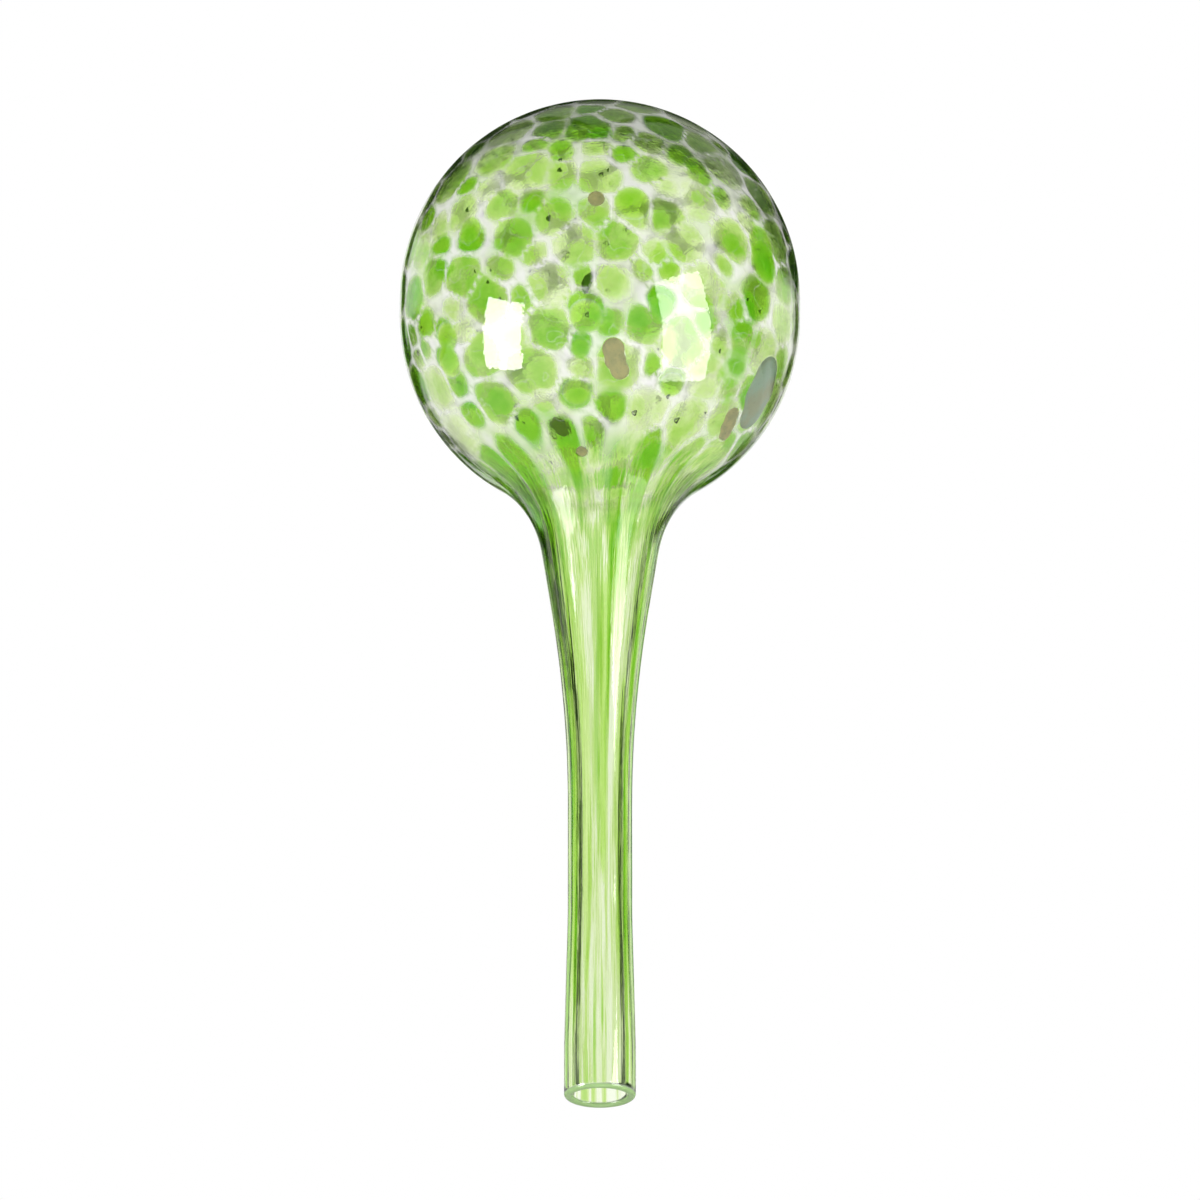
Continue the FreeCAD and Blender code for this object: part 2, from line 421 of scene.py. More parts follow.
class Gather:
    """The round gather that the globe is blown from, on which the spots lie evenly.

    On the bulb a point keeps its own place. The neck and stem are drawn out of a small
    stretch of the gather, so that what is round there becomes a long streak.
    """

    # The latitude that the neck is drawn out from, the stretch over which the drawing sets
    # in, and the share of the stem's length that it has on the gather from there on
    drawn_from = math.radians(-50.0)
    settling = 0.15
    stem_rate = 0.055

    def __init__(self, sizes):
        self.radius = sizes.bulb_diameter / 2
        self.middle = sizes.globe_height - self.radius - sizes.bulb_belt / 2
        outer = walk(skin_edges(sizes, 0.0, 0.0, 0.0),
                     sizes.bulb_diameter * GATHER_SPACING_SHARE)[::-1]
        self.heights = []
        self.latitudes = []
        run = 0.0
        last = None
        for radius, height in outer:
            latitude = math.atan2(height - self.middle, radius)
            if latitude < self.drawn_from:
                if last:
                    run += math.hypot(radius - last[0], height - last[1]) / self.radius
                eased = self.settling * (1 - math.exp(-run / self.settling))
                drawn = self.stem_rate * run + (1 - self.stem_rate) * eased
                self.heights.append(height)
                self.latitudes.append(self.drawn_from - drawn)
                last = (radius, height)

    def latitude(self, place):
        """The gather's latitude of a point of the wall."""
        latitude = math.atan2(place.z - self.middle, math.hypot(place.x, place.y))
        if latitude >= self.drawn_from or place.z >= self.heights[0]:
            return max(latitude, self.drawn_from)
        low, high = 0, len(self.heights) - 1
        if place.z <= self.heights[high]:
            return self.latitudes[high]
        while high - low > 1:
            middle = (low + high) // 2
            if self.heights[middle] >= place.z:
                low = middle
            else:
                high = middle
        part = (self.heights[low] - place.z) / (self.heights[low] - self.heights[high])
        return self.latitudes[low] + (self.latitudes[high] - self.latitudes[low]) * part

    def at(self, turn, latitude):
        """The point of the gather at a turn and latitude."""
        flat = math.cos(latitude) * self.radius
        return Vector((flat * math.cos(turn), flat * math.sin(turn),
                       math.sin(latitude) * self.radius))

    def of(self, place):
        """The point of the gather that a point of the wall came from."""
        return self.at(math.atan2(place.y, place.x), self.latitude(place))


def spread_spots(sizes, gather):
    """Every melted-in spot as its place on the gather, its radius and its tone."""
    chance = random.Random(SPOT_CHANCE)
    spots = []
    for turn, rise, width, tone in FRONT_SPOT_SHARES:
        place = gather.at(2 * math.pi * turn, math.pi / 2 * rise)
        spots.append((place, sizes.bulb_diameter * width / 2, tone))
    for share in CHANCE_SPOT_SHARES:
        for _ in range(CHANCE_SPOT_TRIES):
            flat = chance.uniform(-1, 1)
            turn = chance.uniform(0, 2 * math.pi)
            uneven = chance.uniform(1 - SPOT_UNEVENNESS, 1 + SPOT_UNEVENNESS)
            radius = sizes.bulb_diameter * share * uneven
            tone = chance.choice(CHANCE_SPOT_TONES)
            place = gather.at(turn, math.asin(flat))
            if all((place - other).length > (radius + reach) * SPOT_CLOSENESS
                   for other, reach, _ in spots):
                spots.append((place, radius, tone))
    return spots


def deselect():
    """Leaves nothing selected, in object mode."""
    if bpy.context.mode != "OBJECT":
        bpy.ops.object.mode_set(mode="OBJECT")
    bpy.ops.object.select_all(action="DESELECT")


def activate(piece):
    """Makes one object the only selected and the active one."""
    deselect()
    piece.select_set(True)
    bpy.context.view_layer.objects.active = piece


def apply_modifier(piece, kind, **values):
    """Adds a modifier to a piece and applies it."""
    activate(piece)
    modifier = piece.modifiers.new(kind.lower(), kind)
    for name, value in values.items():
        setattr(modifier, name, value)
    bpy.ops.object.modifier_apply(modifier=modifier.name)


def finish_piece(piece, name, nodes=()):
    """Names a piece, ties it to the body and hides the nodes that it stands for."""
    activate(piece)
    bpy.ops.object.transform_apply(location=True, rotation=True, scale=True)
    bpy.ops.object.shade_smooth()
    piece.name = name
    piece.data.name = name
    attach(piece, "root")
    if nodes:
        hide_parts(*nodes)
    deselect()


def join(pieces):
    """Joins pieces into the first of them."""
    deselect()
    for piece in pieces:
        piece.select_set(True)
    bpy.context.view_layer.objects.active = pieces[0]
    bpy.ops.object.join()
    return pieces[0]


def store(piece, name, values):
    """Keeps one number for each point of a piece, for its material to read."""
    attribute = piece.data.attributes.new(name, "FLOAT", "POINT")
    attribute.data.foreach_set("value", values)


def store_places(piece, name, places):
    """Keeps one place for each point of a piece, for its material to read."""
    attribute = piece.data.attributes.new(name, "FLOAT_VECTOR", "POINT")
    attribute.data.foreach_set("vector", [number for place in places for number in place])


class Nodes:
    """A material's or world's node tree, built node by node."""

    def __init__(self, tree):
        self.tree = tree
        self.tree.nodes.clear()
        self.count = 0

    def add(self, kind, inputs=None, **values):
        """Adds a node, sets its values and joins or sets its inputs."""
        node = self.tree.nodes.new("ShaderNode" + kind)
        node.location = (self.count % 8 * 220, -(self.count // 8) * 300)
        self.count += 1
        for name, value in values.items():
            setattr(node, name, value)
        for name, value in (inputs or {}).items():
            socket = node.inputs[name]
            if isinstance(value, bpy.types.NodeSocket):
                self.tree.links.new(value, socket)
            else:
                socket.default_value = value
        return node

    def math(self, operation, first, second=0.0, third=0.0):
        """A number worked out from up to three others."""
        return self.add("Math", {0: first, 1: second, 2: third}, operation=operation).outputs[0]

    def ramp(self, value, low, high, low_to=0.0, high_to=1.0):
        """A number eased from one value to another as its source goes from low to high."""
        node = self.add("MapRange", {"Value": value, "From Min": low, "From Max": high,
                                     "To Min": low_to, "To Max": high_to},
                        interpolation_type="SMOOTHSTEP")
        return node.outputs["Result"]

    def mix(self, factor, first, second):
        """A colour between two others."""
        return self.add("Mix", {0: factor, 6: first, 7: second}, data_type="RGBA").outputs[2]

    def attribute(self, name, output="Fac"):
        """A number or place kept on the piece's points."""
        return self.add("Attribute", attribute_name=name).outputs[output]

    def noise(self, vector, scale, detail=2.0, roughness=0.5):
        """Soft noise at a place."""
        node = self.add("TexNoise", {"Vector": vector, "Scale": scale, "Detail": detail,
                                     "Roughness": roughness})
        return node.outputs["Fac"]


def colour(value):
    """A colour with full cover."""
    return (*value, 1.0)


def material(name):
    """A new material and its nodes."""
    made = bpy.data.materials.new(name)
    made.use_nodes = True
    return made, Nodes(made.node_tree)


def spot_fill(nodes, flow):
    """How much of its spot's colour a place has: none in a vein, all within the spot."""
    grain = nodes.noise(flow, scale=1500.0, roughness=0.6)
    ragged = nodes.math("MULTIPLY_ADD", grain, 0.7, -0.35)
    edge = nodes.math("ADD", nodes.attribute("spot_edge"), ragged)
    reach = nodes.math("ADD", nodes.attribute("spot_reach"), ragged)
    inside = nodes.ramp(edge, -0.15, 0.95)
    near = nodes.ramp(reach, -0.4, 1.6, 1.0, 0.0)
    return nodes.math("MULTIPLY", inside, near)


def spot_tone(nodes, flow, fill):
    """A place's tone: its spot's own, deeper at the heart, clouded, and faint in a vein."""
    heart = nodes.ramp(nodes.attribute("spot_reach"), -2.2, 0.0, 0.10, -0.05)
    tone = nodes.math("ADD", nodes.attribute("spot_tone"), heart)
    cloud = nodes.noise(flow, scale=420.0, detail=3.0, roughness=0.55)
    tone = nodes.math("ADD", tone, nodes.math("MULTIPLY_ADD", cloud, 0.30, -0.15))
    return nodes.math("MULTIPLY", tone, nodes.math("MULTIPLY_ADD", fill, 0.75, 0.25))


def drawn_tone(nodes, tone, drawn, strand, neck):
    """The tone where the spots are drawn out into streaks, a little deeper in the neck."""
    streak = nodes.ramp(strand, 0.38, 0.62, -0.34, 0.26)
    streak = nodes.math("MULTIPLY_ADD", neck, 0.34, streak)
    return nodes.math("MULTIPLY_ADD", tone, nodes.math("MULTIPLY_ADD", drawn, -0.40, 1.0),
                      nodes.math("MULTIPLY", drawn, streak))


def tone_colour(nodes, tone, colours):
    """The glass's colour at a tone, from nearly clear to deep green."""
    green = nodes.add("ValToRGB", {"Fac": tone})
    stops = green.color_ramp.elements
    stops[0].position, stops[0].color = 0.0, colour(colours.faint)
    stops[1].position, stops[1].color = DEEP_TONE, colour(colours.deep)
    for position, shade in ((PALE_TONE, colours.pale), (MIDDLE_TONE, colours.middle)):
        stops.new(position).color = colour(shade)
    return green.outputs["Color"]


def vein_milk(nodes, flow, fill, drawn):
    """How milky a place is: in patches along the veins, and in thin wisps over the spots."""
    wisp = nodes.noise(flow, scale=130.0)
    wisp = nodes.math("ABSOLUTE", nodes.math("SUBTRACT", wisp, 0.5))
    wisp = nodes.ramp(wisp, 0.0, 0.012, 0.16, 0.0)
    patch = nodes.noise(flow, scale=95.0)
    patch = nodes.ramp(patch, 0.36, 0.64, 0.28, 0.85)
    milk = nodes.math("MULTIPLY", nodes.math("SUBTRACT", 1.0, fill), patch)
    milk = nodes.math("MAXIMUM", milk, wisp)
    return nodes.math("MULTIPLY", milk, nodes.math("MULTIPLY_ADD", drawn, -0.92, 1.0))


def skin_ripple(nodes, place, flow, drawn, strand, neck):
    """The skin's slope: soft waves, fine ripples on the bulb, and grooves along the stem."""
    wave = nodes.noise(place, scale=170.0, detail=1.0, roughness=0.4)
    ripple = nodes.noise(flow, scale=650.0, roughness=0.55)
    groove = nodes.math("MULTIPLY", strand, nodes.math("MULTIPLY_ADD", neck, 5.0, 1.0))
    groove = nodes.math("MULTIPLY_ADD", ripple, 0.8, groove)
    ripple = nodes.add("Mix", {0: drawn, 2: ripple, 3: groove})
    height = nodes.math("MULTIPLY_ADD", wave, 1.6, ripple.outputs[0])
    bump = nodes.add("Bump", {"Strength": 1.0, "Distance": RIPPLE_DEPTH, "Height": height})
    return bump.outputs["Normal"]


def spotted_glass(colours):
    """The wall: green spots in milky veins on its outer skin, softly rippled clear within.

    Along the stem the spots are drawn out into streaks.
    """
    made, nodes = material("spotted_glass")
    outside = nodes.attribute("outside")
    flow = nodes.attribute("flow", "Vector")
    place = nodes.add("TexCoord").outputs["Object"]
    flow_height = nodes.add("SeparateXYZ", {0: flow}).outputs[2]
    drawn = nodes.ramp(flow_height, *STREAK_TOP, 1.0, 0.0)
    above_tip = nodes.add("SeparateXYZ", {0: place}).outputs[2]
    neck = nodes.ramp(above_tip, *NECK_FOOT)
    strand = nodes.noise(flow, scale=330.0, detail=3.0, roughness=0.7)
    fill = spot_fill(nodes, flow)
    tone = drawn_tone(nodes, spot_tone(nodes, flow, fill), drawn, strand, neck)
    opaque = nodes.ramp(nodes.attribute("opaque_cover"), -0.12, 0.14, 1.0, 0.0)
    green = nodes.ramp(nodes.attribute("green_cover"), -0.8, 0.3, 0.9, 0.0)
    covered = nodes.math("MAXIMUM", opaque, green)
    skin = nodes.mix(covered, tone_colour(nodes, tone, colours), COVERING_SKIN)
    skin = nodes.mix(outside, WHITE, skin)
    milk = nodes.math("MULTIPLY", vein_milk(nodes, flow, fill, drawn),
                      nodes.math("SUBTRACT", outside, covered))
    lip = nodes.ramp(above_tip, *LIP_TOP, LIP_COVER, 0.0)
    milk = nodes.math("ADD", milk, lip)
    body = nodes.mix(lip, colour(colours.milk), colour(colours.lip))
    rough = nodes.math("MULTIPLY_ADD", nodes.math("MAXIMUM", outside, drawn), -0.045, 0.06)
    normal = skin_ripple(nodes, place, flow, drawn, strand, neck)
    dull = nodes.math("MULTIPLY", neck, nodes.ramp(above_tip, *NECK_TOP, 1.0, 0.0))
    shine = nodes.mix(dull, WHITE, DULL_SHINE)
    glass = nodes.add("BsdfPrincipled", {
        "Base Color": skin, "Roughness": rough, "IOR": GLASS_IOR, "Transmission Weight": 1.0,
        "Specular Tint": shine, "Normal": normal})
    white = nodes.add("BsdfPrincipled", {
        "Base Color": body, "Roughness": 0.05, "IOR": GLASS_IOR, "Normal": normal})
    through = nodes.add("BsdfTranslucent", {"Color": body, "Normal": normal})
    milky = nodes.add("MixShader", {0: 0.5, 1: white.outputs[0], 2: through.outputs[0]})
    shell = nodes.add("MixShader", {0: milk, 1: glass.outputs[0], 2: milky.outputs[0]})
    volume = nodes.add("VolumeAbsorption", {
        "Color": colour(colours.body), "Density": WALL_DENSITY})
    nodes.add("OutputMaterial", {"Surface": shell.outputs[0], "Volume": volume.outputs[0]})
    return made


def tinted_glass(name, tint, density):
    """A chip of clear coloured glass, whose colour deepens with its thickness."""
    made, nodes = material(name)
    place = nodes.add("TexCoord").outputs["Object"]
    cloud = nodes.noise(place, scale=900.0, detail=3.0, roughness=0.6)
    shade = nodes.mix(cloud, (0.97, 1.0, 0.93, 1.0), (0.88, 0.97, 0.75, 1.0))
    glass = nodes.add("BsdfPrincipled", {
        "Base Color": shade, "Roughness": 0.0, "IOR": 1.0, "Transmission Weight": 1.0})
    volume = nodes.add("VolumeAbsorption", {"Color": colour(tint), "Density": density})
    nodes.add("OutputMaterial", {"Surface": glass.outputs[0], "Volume": volume.outputs[0]})
    return made


def opaque_glass(name, tint, second, mottle):
    """A chip of opaque glass, mottled and specked, that glows a little with light behind it."""
    made, nodes = material(name)
    place = nodes.add("TexCoord").outputs["Object"]
    cloud = nodes.noise(place, scale=mottle, detail=3.0, roughness=0.6)
    speck = nodes.noise(place, scale=2600.0, roughness=0.6)
    body = nodes.mix(nodes.ramp(cloud, 0.35, 0.65), colour(tint), colour(second))
    dark = nodes.ramp(speck, 0.62, 0.70, 0.0, 0.35)
    body = nodes.mix(dark, body, (0.12, 0.10, 0.05, 1.0))
    bump = nodes.add("Bump", {"Strength": 0.6, "Distance": RIPPLE_DEPTH, "Height": cloud})
    glass = nodes.add("BsdfPrincipled", {
        "Base Color": body, "Roughness": 0.28, "IOR": GLASS_IOR,
        "Normal": bump.outputs["Normal"]})
    through = nodes.add("BsdfTranslucent", {"Color": body})
    cast = nodes.add("MixShader", {0: 0.55, 1: glass.outputs[0], 2: through.outputs[0]})
    clear = nodes.add("BsdfTransparent")
    shell = nodes.add("MixShader", {0: nodes.attribute("outside"), 1: clear.outputs[0],
                                    2: cast.outputs[0]})
    nodes.add("OutputMaterial", {"Surface": shell.outputs[0]})
    return made


def dark_glass(colours):
    """Burnt specks: nearly opaque olive glass."""
    made, nodes = material("dark_seeds")
    place = nodes.add("TexCoord").outputs["Object"]
    cloud = nodes.noise(place, scale=1800.0, roughness=0.6)
    body = nodes.mix(cloud, colour(colours.olive), (0.16, 0.24, 0.06, 1.0))
    glass = nodes.add("BsdfPrincipled", {
        "Base Color": body, "Roughness": 0.35, "IOR": GLASS_IOR})
    nodes.add("OutputMaterial", {"Surface": glass.outputs[0]})
    return made


def air_bubble():
    """A bubble of air in the glass, a little frosted on its wall."""
    made, nodes = material("air_bubble")
    place = nodes.add("TexCoord").outputs["Object"]
    frost = nodes.noise(place, scale=3000.0)
    frost = nodes.ramp(frost, 0.3, 0.7, 0.0, 0.06)
    glass = nodes.add("BsdfGlass", {
        "Color": WHITE, "Roughness": frost, "IOR": AIR_IN_GLASS_IOR})
    nodes.add("OutputMaterial", {"Surface": glass.outputs[0]})
    return made


def keep_outside(piece, gather):
    """Keeps one on the points of the outer skin and nought on those of the inner skin."""
    values = []
    for vertex in piece.data.vertices:
        height = vertex.co.z - gather.middle if vertex.co.z > gather.heights[0] else 0.0
        outward = Vector((vertex.co.x, vertex.co.y, height))
        values.append(1.0 if vertex.normal.dot(outward) > 0 else 0.0)
    store(piece, "outside", values)


def keep_flow(piece, gather):
    """Keeps each point's place on the gather, along which streaks run."""
    places = [gather.of(vertex.co) for vertex in piece.data.vertices]
    store_places(piece, "flow", places)
    return places


def keep_spots(piece, places, spots):
    """Keeps how far each point lies from its spot's rim and its neighbours, and its tone."""
    tree = KDTree(len(spots))
    for number, (place, _, _) in enumerate(spots):
        tree.insert(place, number)
    tree.balance()
    noise.seed_set(WAVER_CHANCE)
    edges, reaches, tones = [], [], []
    for place in places:
        warp = Vector()
        for often, far in SPOT_WAVERS:
            warp += noise.noise_vector(place * often) * far
        near = sorted((distance - spots[number][1], spots[number][2])
                      for _, number, distance in tree.find_n(place + warp, NEAREST_SPOTS))
        first = near[0][0]
        weights = [math.exp(-(reach - first) * TONE_BLENDING) for reach, _ in near]
        edges.append((near[1][0] - first) * MILLIMETRES / 2)
        reaches.append(first * MILLIMETRES)
        tones.append(sum(weight * tone for weight, (_, tone) in zip(weights, near))
                     / sum(weights))
    store(piece, "spot_edge", edges)
    store(piece, "spot_reach", reaches)
    store(piece, "spot_tone", tones)


def keep_cover(piece, name, sizes, kinds):
    """Keeps how far each point of the wall lies outside the chips of some kinds."""
    circles = []
    for chips, width_share in kinds:
        for spots in chips:
            places, middle = chip_places(sizes, spots, width_share)
            for turn, rise, width in places:
                place = middle + direction(turn, rise) * (sizes.bulb_diameter / 2)
                circles.append((place, width / 2))
    store(piece, name, [min((vertex.co - place).length - radius for place, radius in circles)
                        * MILLIMETRES for vertex in piece.data.vertices])


class GLOBE_OT_blown_wall(bpy.types.Operator):
    """Blows the bulb, neck and hollow stem in one wall of spotted glass"""
    bl_idname = "globe.blown_wall"
    bl_label = "Blown Wall"

    def execute(self, context):
        sizes = context.scene.globe_sizes
        deselect()
        section = half_section(sizes)
        bpy.ops.mesh.primitive_plane_add(size=sizes.bulb_wall)
        piece = context.object
        bpy.ops.object.mode_set(mode="EDIT")
        bpy.ops.mesh.select_all(action="SELECT")
        bpy.ops.mesh.merge(type="CENTER")
        last_x, last_z = section[0]
        bpy.ops.transform.translate(value=(last_x, 0.0, last_z))
        for x, z in section[1:]:
            bpy.ops.mesh.extrude_vertices_move(
                TRANSFORM_OT_translate={"value": (x - last_x, 0.0, z - last_z)})
            last_x, last_z = x, z
        bpy.ops.mesh.select_all(action="SELECT")
        bpy.ops.mesh.spin(steps=TURN_STEPS, angle=2 * math.pi, center=(0.0, 0.0, 0.0),
                          axis=(0.0, 0.0, 1.0))
        bpy.ops.mesh.select_all(action="SELECT")
        bpy.ops.mesh.remove_doubles(threshold=WELD_DISTANCE)
        bpy.ops.mesh.normals_make_consistent(inside=False)
        bpy.ops.object.mode_set(mode="OBJECT")
        apply_modifier(piece, "SUBSURF", levels=1, render_levels=1)
        hand = bpy.data.textures.new("hand_blown", "CLOUDS")
        hand.noise_scale = sizes.bulb_diameter * UNEVEN_SHARE
        apply_modifier(piece, "DISPLACE", texture=hand, texture_coords="LOCAL",
                       strength=UNEVEN_DEPTH, mid_level=1.0)
        piece.data.materials.append(spotted_glass(context.scene.globe_colours))
        gather = Gather(sizes)
        keep_outside(piece, gather)
        places = keep_flow(piece, gather)
        keep_spots(piece, places, spread_spots(sizes, gather))
        keep_cover(piece, "opaque_cover", sizes, (
            (TAN_CHIP_SHARES, CHIP_WIDTH_SHARES["tan"]),
            (BLUE_CHIP_SHARES, CHIP_WIDTH_SHARES["blue"])))
        keep_cover(piece, "green_cover", sizes, (
            (DEEP_CHIP_SHARES, CHIP_WIDTH_SHARES["deep"]),
            (LIGHT_CHIP_SHARES, CHIP_WIDTH_SHARES["light"])))
        finish_piece(piece, "blown_wall", ["glass_wall"])
        return {"FINISHED"}


def chip_places(sizes, spots, width_share):
    """The turn, rise and width of each spot of a chip, and the middle that they face from."""
    kind_width = sizes.bulb_diameter * width_share
    radius = sizes.bulb_diameter / 2
    upper = sizes.globe_height - radius
    turn_share, rise_share, width_share = spots[0]
    middle = Vector((0, 0, upper if rise_share >= 0 else upper - sizes.bulb_belt))
    turn = 2 * math.pi * turn_share
    rise = math.pi / 2 * rise_share
    places = [(turn, rise, kind_width * width_share)]
    for bearing_share, step_share, width_share in spots[1:]:
        bearing = 2 * math.pi * bearing_share
        step = step_share * kind_width / radius
        turn += step * math.cos(bearing) / math.cos(rise)
        rise += step * math.sin(bearing)
        places.append((turn, rise, kind_width * width_share))
    return places, middle


def direction(turn, rise):
    """The way from the bulb's middle at a turn and rise."""
    return Vector((math.cos(rise) * math.cos(turn), math.cos(rise) * math.sin(turn),
                   math.sin(rise)))


def rim_distance(angle, circles):
    """How far the joined round spots reach along one bearing from their common middle."""
    way = Vector((math.cos(angle), math.sin(angle)))
    best = 0.0
    for middle, radius in circles:
        along = middle.dot(way)
        across = (middle - way * along).length
        if across < radius:
            best = max(best, along + math.sqrt(radius ** 2 - across ** 2))
    return best


def lay_on_skin(piece, wall, sizes, weights):
    """Lays a flat piece just under the wall's outer skin and gives it its thickness."""
    group = piece.vertex_groups.new(name="thickness")
    for number, weight in enumerate(weights):
        group.add([number], weight, "REPLACE")
    apply_modifier(piece, "SHRINKWRAP", target=wall, wrap_method="NEAREST_SURFACEPOINT",
                   wrap_mode="INSIDE", offset=sizes.skin_cover)
    apply_modifier(piece, "SOLIDIFY", thickness=sizes.chip_depth, offset=-1.0,
                   use_even_offset=False, vertex_group="thickness",
                   thickness_vertex_group=THINNEST_SHARE)
    piece.vertex_groups.clear()


def make_chip(sizes, wall, spots, width_share, lens=True):
    """One chip: rings of points inside its outline, laid on the skin."""
    places, middle = chip_places(sizes, spots, width_share)
    ways = [direction(turn, rise) for turn, rise, _ in places]
    outward = sum(ways, Vector()).normalized()
    level = UP.cross(outward).normalized()
    upright = outward.cross(level)
    radius = sizes.bulb_diameter / 2
    circles = [(Vector((way.dot(level), way.dot(upright))) * radius, width / 2)
               for way, (_, _, width) in zip(ways, places)]
    rims = [rim_distance(2 * math.pi * step / CHIP_POINTS, circles)
            for step in range(CHIP_POINTS)]
    rims = [(rims[step - 1] + 2 * rims[step] + rims[(step + 1) % CHIP_POINTS]) / 4
            for step in range(CHIP_POINTS)]
    blank = sizes.bulb_diameter / 10
    deselect()
    bpy.ops.mesh.primitive_circle_add(vertices=CHIP_POINTS, radius=blank, fill_type="NGON")
    piece = bpy.context.object
    bpy.ops.object.mode_set(mode="EDIT")
    bpy.ops.mesh.select_all(action="SELECT")
    for _ in range(CHIP_RINGS):
        bpy.ops.mesh.inset(thickness=blank / (CHIP_RINGS + 1))
    bpy.ops.mesh.poke()
    bpy.ops.object.mode_set(mode="OBJECT")
    weights = []
    start = middle + outward * (radius + sizes.bulb_wall / 2)
    for vertex in piece.data.vertices:
        flat = vertex.co.copy()
        share = min(1.0, flat.length / blank)
        angle = math.atan2(flat.y, flat.x)
        reach = rims[round(angle / (2 * math.pi) * CHIP_POINTS) % CHIP_POINTS] * share
        vertex.co = (start + level * math.cos(angle) * reach
                     + upright * math.sin(angle) * reach)
        weights.append(math.sqrt(max(0.0, 1 - share ** 2)) if lens else
                       min(1.0, (1 - share) * OPAQUE_SLOPE + OPAQUE_RIM_SHARE))
    lay_on_skin(piece, wall, sizes, weights)
    return piece


def make_thread(sizes, wall, places):
    """One thread: a long strip along the stem, laid on the skin."""
    turn_share, span_share, start_share, end_share = places
    lowest = sizes.tip_wall / 2 + sizes.tip_grip_length
    edges = skin_edges(sizes, 0.0, 0.0, 0.0)
    _, _, (_, taper_end) = edges[NECK_TAPER]
    start = lowest + (taper_end - lowest) * start_share
    end = lowest + (taper_end - lowest) * end_share
    outline = walk(edges, sizes.bulb_diameter / THREAD_SPACINGS)
    deselect()
    bpy.ops.mesh.primitive_grid_add(x_subdivisions=THREAD_COLUMNS, y_subdivisions=THREAD_ROWS,
                                    size=2.0)
    piece = bpy.context.object
    weights = []
    for vertex in piece.data.vertices:
        across, along = vertex.co.x, vertex.co.y
        height = (start + end) / 2 + (end - start) / 2 * along
        narrow = math.sqrt(max(0.0, 1 - along ** 4)) * (1 - THREAD_END_SHARE) + THREAD_END_SHARE
        turn = 2 * math.pi * (turn_share + span_share / 2 * across * narrow)
        radius = min(outline, key=lambda place: abs(place[1] - height))[0]
        reach = radius + sizes.stem_wall / 4
        vertex.co = Vector((math.cos(turn) * reach, math.sin(turn) * reach, height))
        lens = math.sqrt(max(0.0, 1 - across ** 2))
        weights.append(max(THREAD_RIM_SHARE, THREAD_SHARE * lens * narrow))
    lay_on_skin(piece, wall, sizes, weights)
    return piece


class GLOBE_OT_green_chips(bpy.types.Operator):
    """Melts in the deep and light green chips and the threads along the stem"""
    bl_idname = "globe.green_chips"
    bl_label = "Green Chips"

    def execute(self, context):
        sizes = context.scene.globe_sizes
        colours = context.scene.globe_colours
        wall = bpy.data.objects["blown_wall"]
        kinds = (
            ("deep_green_chips", "deep_green_glass", "deep_green_frit", DEEP_CHIP_SHARES,
             DEEP_THREAD_SHARES, CHIP_WIDTH_SHARES["deep"], colours.deep_chip,
             DEEP_CHIP_DENSITY),
            ("light_green_chips", "light_green_glass", "light_green_frit", LIGHT_CHIP_SHARES,
             LIGHT_THREAD_SHARES, CHIP_WIDTH_SHARES["light"], colours.light_chip,
             LIGHT_CHIP_DENSITY),
        )
        for name, slot, node, chips, threads, width_share, tint, density in kinds:
            pieces = [make_chip(sizes, wall, spots, width_share) for spots in chips]
            pieces += [make_thread(sizes, wall, places) for places in threads]
            piece = join(pieces)
            piece.data.materials.append(tinted_glass(slot, tint, density))
            finish_piece(piece, name, [node])
        return {"FINISHED"}


class GLOBE_OT_opaque_chips(bpy.types.Operator):
    """Melts in the opaque tan chips and the blue-grey chip"""
    bl_idname = "globe.opaque_chips"
    bl_label = "Opaque Chips"

    def execute(self, context):
        sizes = context.scene.globe_sizes
        colours = context.scene.globe_colours
        wall = bpy.data.objects["blown_wall"]
        kinds = (
            ("tan_chips", "tan_glass", "tan_frit", TAN_CHIP_SHARES, CHIP_WIDTH_SHARES["tan"],
             colours.tan, colours.tan_mottle, TAN_MOTTLE_SCALE),
            ("blue_grey_chip", "blue_grey_glass", "blue_grey_frit", BLUE_CHIP_SHARES,
             CHIP_WIDTH_SHARES["blue"], colours.blue_grey, colours.blue_grey_mottle,
             BLUE_GREY_MOTTLE_SCALE),
        )
        for name, slot, node, chips, width_share, tint, second, mottle in kinds:
            piece = join([make_chip(sizes, wall, spots, width_share, False) for spots in chips])
            piece.data.materials.append(opaque_glass(slot, tint, second, mottle))
            keep_outside(piece, Gather(sizes))
            finish_piece(piece, name, [node])
        return {"FINISHED"}


def inside_wall(sizes, turn_share, rise_share, depth_share):
    """A place inside the bulb's wall, and the ways outward and level there."""
    outward = direction(2 * math.pi * turn_share, math.pi / 2 * rise_share)
    radius = sizes.bulb_diameter / 2
    upper = sizes.globe_height - radius
    middle = Vector((0, 0, upper if rise_share >= 0 else upper - sizes.bulb_belt))
    place = middle + outward * (radius - sizes.bulb_wall * depth_share)
    return place, outward, UP.cross(outward).normalized()


def make_pip(place, outward, along, length, width, depth):
    """A small long pip of another stuff inside the wall."""
    deselect()
    bpy.ops.mesh.primitive_ico_sphere_add(subdivisions=2, radius=1.0)
    pip = bpy.context.object
    side = along.cross(outward).normalized()
    turn = Matrix((side, along, outward)).transposed()
    for vertex in pip.data.vertices:
        shaped = Vector((vertex.co.x * width / 2, vertex.co.y * length / 2,
                         vertex.co.z * depth / 2))
        shaped.x += width * PIP_BEND * (vertex.co.y ** 2 - 0.5)
        vertex.co = place + turn @ shaped
    return pip


